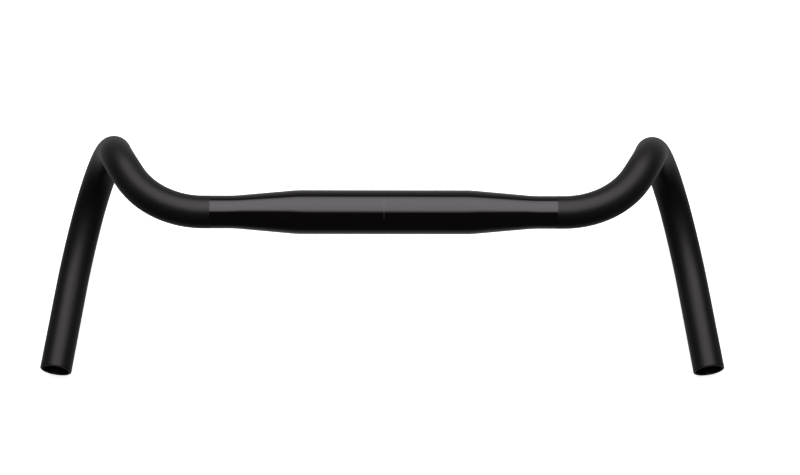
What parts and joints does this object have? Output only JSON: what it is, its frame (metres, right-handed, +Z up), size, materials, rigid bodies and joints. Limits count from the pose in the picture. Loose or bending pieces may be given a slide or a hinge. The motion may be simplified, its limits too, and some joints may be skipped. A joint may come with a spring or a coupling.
{
  "type": "drop handlebar",
  "caption": "Flared drop handlebar for a gravel bicycle: a hollow bent tube, thick at the stem clamp, with hooks that sweep out to open-ended drops.",
  "frame": {"origin": "centre of the stem clamp, on the axis of the tops", "axes": "+X to the rider's right along the tops, +Y forward, +Z up, with the straight drops level"},
  "size_m": [0.5216, 0.1617, 0.1487],
  "materials": {
    "black_aluminium": "black anodised: matte on bends and drops, polished along the middle"
  },
  "bodies": {
    "root": {"handlebar": "black_aluminium"}
  },
  "joints": []
}
